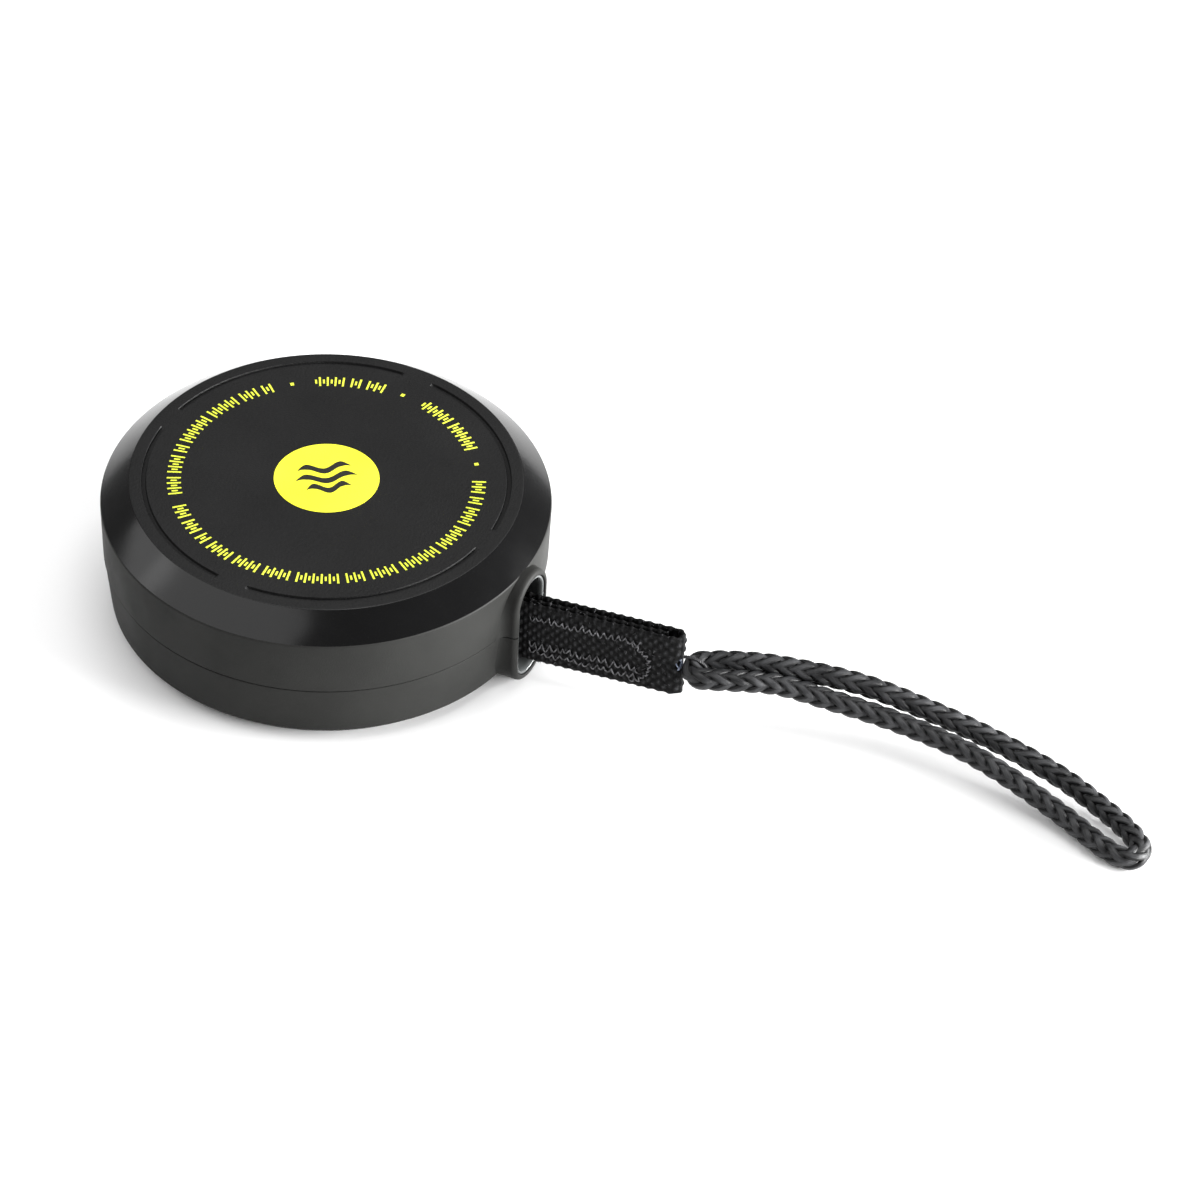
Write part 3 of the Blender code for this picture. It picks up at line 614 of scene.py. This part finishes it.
def strapStitching():
    parts = []
    for face in (-1, 1):
        for centre, reach in stitching["rows"]:
            spots = []
            x = stitching["from"]
            sign = 1
            while x < stitching["to"]:
                drift = stitching["wander"] * math.sin(x * 900 + centre * 4000)
                wander = drift + chance.gauss(0, stitching["spread"])
                spots.append((x, centre + sign * reach * chance.uniform(0.45, 1.1) + wander))
                x += chance.uniform(0.0005, 0.00095)
                sign = -sign
            parts.append(stitchLine(spots, face))
        arc = []
        (x, z), (reachX, reachZ) = stitching["arcCentre"], stitching["arcReach"]
        count, sweep = stitching["arcStitches"], stitching["arcSweep"]
        for k in range(count):
            a = math.radians(sweep * k / (count - 1) - sweep / 2)
            wide = chance.uniform(0.0002, 0.0006) * (1 if k % 2 else -1)
            arc.append((x + (reachX + wide) * math.cos(a), z + (reachZ + wide) * math.sin(a)))
        parts.append(stitchLine(arc, face, 0.00016))
    points, faces = joinAll(parts)
    piece = meshPiece("strap_stitching", strapPoints(points), faces, [stitchYarn.material])
    turnOut(piece)
    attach(piece, "strap")


fuzz = {"hairs": 260, "onFaces": 0.6, "shortest": 0.0003, "longest": 0.0008, "hair": 0.00003}


def strapFuzz():
    parts = []
    halfThick, halfWide = strap["thickness"] / 2, strap["width"] / 2
    for k in range(fuzz["hairs"]):
        x = chance.uniform(0.0008, strap["length"] - 0.0015)
        kind = chance.random()
        if kind < fuzz["onFaces"]:
            y, z = chance.choice((-1, 1)) * halfThick * 0.96, chance.uniform(-halfWide, halfWide) * 0.97
            out = (0, math.copysign(1, y), 0)
        else:
            y, z = chance.uniform(-halfThick, halfThick), chance.choice((-1, 1)) * halfWide * 0.985
            out = (0, 0, math.copysign(1, z))
        reach = chance.uniform(fuzz["shortest"], fuzz["longest"])
        lean = np.array([chance.gauss(0, 0.9), chance.gauss(0, 0.5), chance.gauss(0, 0.7)])
        line = []
        for t in (0, 0.33, 0.66, 1):
            rise = np.array(out) * reach * (t - 0.45 * t * t)
            line.append(np.array([x, y, z]) + rise + lean * reach * t * t * 0.8)
        parts.append(tube(line, fuzz["hair"], 3))
    points, faces = joinAll(parts)
    piece = meshPiece("strap_fuzz", strapPoints(points), faces, [stitchYarn.material])
    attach(piece, "strap")


strapPiece()
strapStitching()
strapFuzz()
print("strap ready")


coil = {
    "inner": 0.0178,
    "outer": 0.0288,
    "turns": 9.5,
    "hubEnd": 0.0132,
    "start": math.pi,
    "perTurn": 160,
}


def woundCoil():
    pitch = (coil["outer"] - coil["inner"] - strap["layer"]) / coil["turns"]
    count = int(coil["turns"] * coil["perTurn"])
    turn = np.linspace(0, math.tau * coil["turns"], count)
    radius = coil["inner"] + strap["layer"] / 2 + pitch * turn / math.tau
    angle = coil["start"] + turn
    spiral = np.stack([radius * np.cos(angle), radius * np.sin(angle)], axis=1)
    tail = np.array([(-coil["hubEnd"] - 0.0003 - 0.00045 * k, 0.0) for k in range(9)])
    line = np.concatenate([tail, spiral])
    thin = strap["layer"] * 0.96  # leaves a hair between the turns
    points, faces, crest = webbingSlab(line, strap["width"], thin, 16, 0, strap["start"].z)
    piece = webbingPiece("wound_coil", points, faces, crest)
    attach(piece, "reel")
    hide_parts("wound_webbing")


tongue = {
    "clear": 0.0003,  # off the coil
    "slot": 0.0405,  # where the slot begins
    "wrap": 1.3,
    "straight": 0.006,
    "overlap": 0.0012,
}


def webbingTongue():
    radius = coil["outer"] + tongue["clear"] + strap["layer"] / 2
    end = strap["start"] - strapWay * (strap["inside"] - tongue["overlap"])
    leave = -math.acos(radius / tongue["slot"]) - 0.02
    wrap = np.linspace(leave - tongue["wrap"], leave, 40)
    arc = [(radius * math.cos(a), radius * math.sin(a)) for a in wrap]
    start = Vector(arc[-1])
    way = Vector((-math.sin(leave), math.cos(leave)))
    onWay = Vector((strapWay.x, strapWay.y))
    straight = tongue["straight"]
    entry = Vector((end.x, end.y)) - onWay * straight
    reach = (entry - start).length
    a = start + way * reach * 0.6
    b = entry - onWay * reach * 0.3
    for k in range(1, 31):
        t = k / 30
        spot = start * (1 - t) ** 3 + a * 3 * t * (1 - t) ** 2 + b * 3 * t**2 * (1 - t) + entry * t**3
        arc.append(tuple(spot))
    for k in range(1, 81):
        arc.append(tuple(entry + onWay * straight * k / 80))
    middle = strap["start"].z
    points, faces, crest = webbingSlab(arc, strap["width"], strap["layer"] * 0.94, 32, 0, middle)
    piece = webbingPiece("webbing_tongue", points, faces, crest)
    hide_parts("webbing_run")
    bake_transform(piece)


woundCoil()
webbingTongue()
print("webbing ready")


case = {
    "radius": 0.045,
    "height": 0.031,
    "faceRadius": 0.0392,
    "wallTop": 0.0262,  # the slope runs from here up to the face
    "seam": 0.0143,
    "seamGap": 0.0003,
    "seamStep": 0.001,
    "baseEdge": 0.0434,
    "baseRadius": 0.0404,
    "baseChamfer": 0.003,
    "wall": 0.0023,
    "plate": 0.0024,
    "round": 0.00055,
    "grooveRadius": 0.0363,
    "grooveWidth": 0.0009,
    "grooveDepth": 0.0005,
    "grooveSlope": 0.00008,
    "grooveGap": math.radians(11),
    "faceRings": (0.004, 0.009, 0.015, 0.021, 0.027, 0.032),
    "segments": 360,
}
neck = {
    "reach": 0.0472,
    "halfWidth": 0.0065,
    "centre": 0.013275,
    "halfHeight": 0.013225,
    "wall": 0.0013,
    "round": 0.0010,
    "rim": 0.0003,
    "fillet": 0.0017,
    "seat": 0.0460,  # where the fillet meets the neck's side
    "root": 0.0430,
    "back": 0.0404,
}


def roundCorners(points, radii, steps=6):
    made = [points[0]]
    for before, corner, after, radius in zip(points, points[1:], points[2:], radii):
        if not radius:
            made.append(corner)
            continue
        here = Vector(corner)
        back = (Vector(before) - here).normalized()
        on = (Vector(after) - here).normalized()
        half = back.angle(on) / 2
        middle = here + (back + on).normalized() * radius / math.sin(half)
        start = here + back * radius / math.tan(half) - middle
        sweep = start.angle_signed(here + on * radius / math.tan(half) - middle)
        for k in range(steps + 1):
            made.append(tuple(middle + Matrix.Rotation(-sweep * k / steps, 2) @ start))
    made.append(points[-1])
    return made


def lathe(profile, tag, segments):
    turn = np.arange(segments) * math.tau / segments
    points, rows = [], []
    for r, z in profile:
        if r < 1e-9:
            rows.append([len(points)])
            points.append((0, 0, z))
        else:
            rows.append(list(range(len(points), len(points) + segments)))
            points += [(r * c, r * s, z) for c, s in zip(np.cos(turn), np.sin(turn))]
    faces, tags = [], []
    for k, (low, high) in enumerate(zip(rows, rows[1:])):
        for j in range(segments):
            n = (j + 1) % segments
            if len(low) == 1:
                face = (low[0], high[j], high[n])
            elif len(high) == 1:
                face = (low[j], high[0], low[n])
            else:
                face = (low[j], high[j], high[n], low[n])
            faces.append(face)
            tags.append(tag(profile[k], profile[k + 1]))
    return np.array(points, float), faces, tags


def applied(piece, tool, operation):
    modifier = piece.modifiers.new("cut", "BOOLEAN")
    modifier.operation = operation
    modifier.object = tool
    modifier.solver = "EXACT"
    bpy.context.view_layer.update()
    graph = bpy.context.evaluated_depsgraph_get()
    mesh = bpy.data.meshes.new_from_object(piece.evaluated_get(graph))
    piece.modifiers.clear()
    old = piece.data
    piece.data = mesh
    bpy.data.meshes.remove(old)


def obround(halfWidth, halfHeight, arc=28, side=14):
    straight = halfHeight - halfWidth
    ring = []
    for k in range(arc + 1):
        a = math.pi * k / arc
        ring.append((halfWidth * math.cos(a), straight + halfWidth * math.sin(a)))
    for k in range(1, side):
        ring.append((-halfWidth, straight - 2 * straight * k / side))
    for k in range(arc + 1):
        a = math.pi + math.pi * k / arc
        ring.append((halfWidth * math.cos(a), -straight + halfWidth * math.sin(a)))
    for k in range(1, side):
        ring.append((halfWidth, -straight + 2 * straight * k / side))
    return ring


def obroundRing(x, halfWidth, halfHeight):
    return [(x, y, neck["centre"] + z) for y, z in obround(halfWidth, halfHeight)]


def neckBody():
    w, h, front = neck["halfWidth"], neck["halfHeight"], neck["reach"]
    inner = neck["wall"]
    sections = [(neck["back"], w - inner, h - inner), (front - neck["rim"], w - inner, h - inner)]
    for k in range(1, 5):
        a = math.pi / 2 * k / 4
        inset = inner - neck["rim"] * (1 - math.cos(a))
        sections.append((front - neck["rim"] * (1 - math.sin(a)), w - inset, h - inset))
    for k in range(0, 9):
        a = math.pi / 2 * (1 - k / 8)
        inset = neck["round"] * (1 - math.cos(a))
        sections.append((front - neck["round"] * (1 - math.sin(a)), w - inset, h - inset))
    r = neck["fillet"]
    for k in range(0, 13):
        a = math.pi / 2 * k / 12
        sections.append((neck["seat"] - r * math.sin(a) - 0.00002 * k, w + r * (1 - math.cos(a)), h))
    sections.append((neck["root"] + 0.00085, w + r + 0.0006, h))  # the root sinks into the case wall
    sections.append((neck["root"], w + r - 0.0004, h))
    sections.append((neck["back"], w, h - 0.0004))
    points = [p for section in sections for p in obroundRing(*section)]
    faces = gridFaces(len(sections), len(obround(w, h)), closeRows=True, closeColumns=True)
    return points, faces


def tool(name, points, faces):
    made = meshPiece(name, points, faces, [wallSatin.material], smooth=False)
    turnOut(made)
    return made


def slab(name, low, high):
    (a, b, c), (d, e, f) = low, high
    points = [(a, b, c), (d, b, c), (d, e, c), (a, e, c), (a, b, f), (d, b, f), (d, e, f), (a, e, f)]
    faces = [(0, 3, 2, 1), (4, 5, 6, 7), (0, 1, 5, 4), (1, 2, 6, 5), (2, 3, 7, 6), (3, 0, 4, 7)]
    return tool(name, points, faces)


def tunnelTool():
    w, h = neck["halfWidth"] - neck["wall"] / 2, neck["halfHeight"] - neck["wall"] / 2
    points = obroundRing(neck["back"] - 0.002, w, h) + obroundRing(neck["reach"] + 0.003, w, h)
    count = len(points) // 2
    faces = gridFaces(2, count, closeColumns=True) + [tuple(range(count)), tuple(range(count, 2 * count))]
    return tool("tunnelTool", points, faces)


def inGroove(angle):
    quarter = (angle + math.tau) % (math.tau / 4)
    return case["grooveGap"] / 2 < quarter < math.tau / 4 - case["grooveGap"] / 2


def shellTag(a, b):
    # 0 wall, 1 grained face, 2 polished slope
    top = case["height"] - 0.00045
    if min(a[1], b[1]) >= top - 0.0001 and min(a[0], b[0]) <= case["faceRadius"]:
        return 1
    middle = ((a[0] + b[0]) / 2, (a[1] + b[1]) / 2)
    if middle[1] > case["wallTop"] + 0.0003 and middle[0] > case["faceRadius"] - 0.0004:
        return 2
    return 0


def upperShell():
    seam = case["seam"] + case["seamGap"] / 2
    foot = case["radius"] - 0.0003
    outer = [
        (0, case["height"]), (case["faceRadius"], case["height"]), (case["radius"], case["wallTop"]),
        (foot, seam), (foot - case["seamStep"], seam),
    ]
    outer = roundCorners(outer, (case["round"], case["round"], 0.00012))
    g, half, slope = case["grooveRadius"], case["grooveWidth"] / 2, case["grooveSlope"]
    rings = [*case["faceRings"], g - half - slope, g - half + slope, g, g + half - slope, g + half + slope]
    ceiling = case["height"] - case["plate"]
    inside = [
        (foot - case["wall"], seam), (case["radius"] - case["wall"], case["wallTop"] - 0.0008),
        (case["faceRadius"] - 0.0012, ceiling), (0, ceiling),
    ]
    profile = [outer[0]] + [(r, case["height"]) for r in rings] + outer[1:] + inside
    points, faces, tags = lathe(profile, shellTag, case["segments"])
    radius = np.hypot(points[:, 0], points[:, 1])
    angle = np.arctan2(points[:, 1], points[:, 0])
    bottom = (np.abs(radius - g) < half) & (points[:, 2] > case["height"] - 0.0001)
    bottom &= np.array([inGroove(a) for a in angle])
    points[bottom, 2] -= case["grooveDepth"]
    finishes = [wallSatin.material, faceGrain.material, chamferGloss.material]
    piece = meshPiece("upper_shell", points, faces, finishes, tags=tags)
    turnOut(piece)
    return piece


def lowerShell():
    seam = case["seam"] - case["seamGap"] / 2
    head = case["radius"] - 0.00045
    outer = [
        (head - case["seamStep"], seam), (head, seam), (case["baseEdge"], case["baseChamfer"]),
        (case["baseRadius"], 0), (0, 0),
    ]
    outer = roundCorners(outer, (0.00015, 0.0009, 0.0006))
    inside = [
        (0, case["plate"]), (case["baseRadius"] - 0.001, case["plate"]),
        (case["baseEdge"] - case["wall"], case["baseChamfer"] + 0.0012), (head - case["wall"], seam),
    ]
    points, faces, tags = lathe(inside + outer, lambda a, b: 0, case["segments"])
    piece = meshPiece("lower_shell", points, faces, [wallSatin.material], tags=tags)
    turnOut(piece)
    return piece


pocket = {"count": 4, "out": 0.0372, "radius": 0.0024, "depth": 0.00215, "sides": 40}


def screwPockets():
    parts = []
    sides = pocket["sides"]
    turn = np.arange(sides) * math.tau / sides
    for k in range(pocket["count"]):
        a = math.tau * (k + 0.5) / pocket["count"]
        x, y = pocket["out"] * math.cos(a), pocket["out"] * math.sin(a)
        rim = [(x + pocket["radius"] * math.cos(t), y + pocket["radius"] * math.sin(t)) for t in turn]
        points = [(*spot, -0.001) for spot in rim] + [(*spot, pocket["depth"]) for spot in rim]
        faces = gridFaces(2, sides, closeColumns=True)
        faces += [tuple(range(sides)), tuple(range(sides, sides * 2))]
        parts.append((points, faces))
    return tool("screwPockets", *joinAll(parts))


def drop(*objects):
    for obj in objects:
        bpy.data.objects.remove(obj)


def sharpen(piece, angle=32):
    piece.data.shade_smooth()
    piece.data.set_sharp_from_angle(angle=math.radians(angle))


def joined(piece, other):
    bm = bmesh.new()
    bm.from_mesh(piece.data)
    bm.from_mesh(other.data)
    bm.to_mesh(piece.data)
    bm.free()
    drop(other)


def settleNeck(piece):
    # the lower wall leans in, so the neck's fillet leans with it
    seam, foot = case["seam"], case["baseChamfer"]
    for point in piece.data.vertices:
        spot = point.co
        if spot.z > seam or spot.x > neck["seat"]:
            continue
        down = (seam - spot.z) / (seam - foot)
        lean = case["radius"] - 0.0005 - case["baseEdge"]
        back = 0.0004 + min(down, 1) * lean + max(foot - spot.z, 0)
        spot.x -= back * min(1, (neck["seat"] - spot.x) / neck["fillet"])


def buildCase():
    upper, lower = upperShell(), lowerShell()
    tunnel = tunnelTool()
    applied(upper, tunnel, "DIFFERENCE")
    applied(lower, tunnel, "DIFFERENCE")
    pockets = screwPockets()
    applied(lower, pockets, "DIFFERENCE")
    points, faces = neckBody()
    highNeck = tool("highNeck", points, faces)
    lowNeck = tool("lowNeck", points, faces)
    above = slab("above", (0.02, -0.03, case["seam"] + case["seamGap"] / 2), (0.06, 0.03, 0.05))
    below = slab("below", (0.02, -0.03, -0.01), (0.06, 0.03, case["seam"] - case["seamGap"] / 2))
    settleNeck(lowNeck)
    applied(highNeck, above, "INTERSECT")
    applied(lowNeck, below, "INTERSECT")
    joined(upper, highNeck)
    joined(lower, lowNeck)
    drop(tunnel, pockets, above, below)
    for piece, node in ((upper, "upper_case"), (lower, "lower_case")):
        sharpen(piece)
        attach(piece, "case")
        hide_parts(node)


liner = {"thick": 0.00075, "back": 0.0411, "sunk": 0.0003, "clear": 0.0001, "lip": 0.0003, "round": 0.0012}


def portLiner():
    tight = neck["wall"] + liner["clear"]
    w, h = neck["halfWidth"] - tight, neck["halfHeight"] - tight
    front, back, thick = neck["reach"] - liner["sunk"], liner["back"], liner["thick"]
    sections = [
        (back, w, h), (front - 0.0002, w, h), (front - 0.00006, w - 0.00006, h - 0.00006),
        (front, w - 0.0002, h - 0.0002),
    ]
    for k in range(0, 9):
        a = math.pi / 2 * k / 8
        inset = liner["lip"] + (thick - liner["lip"]) * math.sin(a)
        sections.append((front - liner["round"] * (1 - math.cos(a)), w - inset, h - inset))
    sections.append((back, w - thick, h - thick))
    points = [p for section in sections for p in obroundRing(*section)]
    faces = gridFaces(len(sections), len(obround(w, h)), closeRows=True, closeColumns=True)
    piece = meshPiece("port_rim", points, faces, [linerGloss.material])
    turnOut(piece)
    sharpen(piece, 40)
    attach(piece, "case")
    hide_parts("port_liner")


buildCase()
portLiner()
print("case ready")


ink = {"disc": 0.0105, "discSides": 128, "thick": 0.00003, "sunk": 0.00002}


def prism(outline, low, high):
    count = len(outline)
    points = [(x, y, low) for x, y in outline] + [(x, y, high) for x, y in outline]
    faces = gridFaces(2, count, closeColumns=True)
    faces += [tuple(range(count))[::-1], tuple(range(count, 2 * count))]
    return points, faces


def faceDisc():
    top, r, sides = case["height"], ink["disc"], ink["discSides"]
    outline = [(r * math.cos(a), r * math.sin(a)) for a in np.arange(sides) * math.tau / sides]
    points, faces = prism(outline, top - ink["sunk"], top + ink["thick"])
    piece = meshPiece("face_disc", points, faces, [discInk.material], smooth=False)
    turnOut(piece)
    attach(piece, "case")


waves = {
    "turn": 40,  # degrees round the face
    "lines": ((0.0108, 0.0030), (0.0124, 0.0), (0.0090, -0.0030)),  # length and height of each wave
    "swing": 0.00085,
    "crests": 1.5,
    "half": 0.00075,
}


def faceWaves():
    top = case["height"] + ink["thick"]
    turn = Matrix.Rotation(math.radians(waves["turn"]), 2)
    parts = []
    for span, rise in waves["lines"]:
        high, low = [], []
        for t in np.linspace(0, 1, 41):
            x = (t - 0.5) * span
            y = rise + waves["swing"] * math.sin(t * math.tau * waves["crests"])
            thick = waves["half"] * min(1, 6 * t, 6 * (1 - t)) + 0.00005
            high.append(tuple(turn @ Vector((x, y + thick))))
            low.append(tuple(turn @ Vector((x, y - thick))))
        parts.append(prism(low + high[::-1], top - 0.00001, top + ink["thick"]))
    piece = meshPiece("face_waves", *joinAll(parts), [iconInk.material], smooth=False)
    turnOut(piece)
    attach(piece, "case")


marks = {
    "inner": 0.0289,
    "outer": 0.0317,
    "arcs": ((48, 82), (98, 126), (142, 224), (227, 390)),  # degrees
    "groups": (3, 5, 7, 9, 11),
    "tick": 0.75,
    "space": 0.75,
    "between": 1.9,
    "tall": (0.0, 1.0),
    "short": (0.28, 0.72),
    "dots": (39, 90, 134),
    "dotTick": 1.4,
    "dotTall": (0.32, 0.62),
}


def ringTick(start, sweep, tall):
    inner, outer = (marks["inner"] + (marks["outer"] - marks["inner"]) * share for share in tall)
    steps = max(2, int(sweep / 0.8) + 1)
    angles = [math.radians(start + sweep * k / steps) for k in range(steps + 1)]
    outline = [(inner * math.cos(a), inner * math.sin(a)) for a in angles]
    outline += [(outer * math.cos(a), outer * math.sin(a)) for a in angles[::-1]]
    return prism(outline, case["height"] - ink["sunk"], case["height"] + ink["thick"])


def faceMarks():
    # plain tall and short ticks in groups, and a dot in three of the breaks between the arcs
    parts = []
    for start, end in marks["arcs"]:
        angle = start
        while angle < end - marks["tick"] * 2:
            for k in range(chance.choice(marks["groups"])):
                if angle > end - marks["tick"] * 2:
                    break
                parts.append(ringTick(angle, marks["tick"], marks["short"] if k % 2 else marks["tall"]))
                angle += marks["tick"] + marks["space"]
            angle += marks["between"]
    for spot in marks["dots"]:
        parts.append(ringTick(spot - marks["dotTick"] / 2, marks["dotTick"], marks["dotTall"]))
    piece = meshPiece("face_marks", *joinAll(parts), [markInk.material], smooth=False)
    turnOut(piece)
    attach(piece, "case")


faceDisc()
faceWaves()
faceMarks()
print("print ready")


def carry(names, finish):
    for name in names:
        mesh = nodes[name].data
        mesh.materials.clear()
        mesh.materials.append(finish.material)
        mesh.shade_smooth()
        mesh.set_sharp_from_angle(angle=math.radians(30))


carry([f"case_screw_{k}" for k in (1, 2, 3, 4)] + ["axle", "strap_anchor_pin"], turnedSteel)
carry(["lower_washer", "upper_washer", "lower_bush", "upper_bush"], bushAcetal)
carry(["retaining_clip", "power_spring"], bluedSteel)
carry(["spool", "spring_cover"], innerNylon)
print("inner parts finished")


room = {
    "floorHalf": 4.0,
    "daylight": 0.25,
    "lights": (  # name, place, aim, size, watts
        ("overheadLight", (0.0, 0.2, 1.3), (0.0, 0, 0), (0.9, 0.9), 11),
        ("sideLight", (-0.49, -0.65, 1.02), (0.0, 0, 0), (1.4, 1.0), 7.6),
        ("keyLight", (1.19, 0.48, 0.215), (0.0, 0, 0.02), (1.2, 0.40), 96),
        ("rimLight", (-1.0, -0.24, 0.62), (0.0, 0, 0.02), (0.55, 0.36), 1.3),
    ),
}


def softbox(name, spot, aim, size, power):
    light = bpy.data.objects.new(name, bpy.data.lights.new(name, "AREA"))
    light.data.shape = "RECTANGLE"
    light.data.size, light.data.size_y = size
    light.data.energy = power
    light.location = spot
    light.rotation_mode = "QUATERNION"
    light.rotation_quaternion = (Vector(aim) - Vector(spot)).to_track_quat("-Z", "Y")
    bpy.context.scene.collection.objects.link(light)


def studio():
    floorLook = Finish("floorPaper", (0.92, 0.92, 0.92), 0.9, specular=0.1)
    floorLook.bump(floorLook.noise(60, 2), 0.00002)
    s = room["floorHalf"]
    corners = [(-s, -s, 0), (s, -s, 0), (s, s, 0), (-s, s, 0)]
    floor = meshPiece("floor", corners, [(0, 1, 2, 3)], [floorLook.material], smooth=False)
    world = bpy.data.worlds.new("studio")
    bpy.context.scene.world = world
    world.use_nodes = True
    world.node_tree.nodes["Background"].inputs["Color"].default_value = (1, 1, 1, 1)
    world.node_tree.nodes["Background"].inputs["Strength"].default_value = room["daylight"]
    for light in room["lights"]:
        softbox(*light)
    bpy.context.scene.view_settings.view_transform = "Standard"
    print("studio ready")


studio()
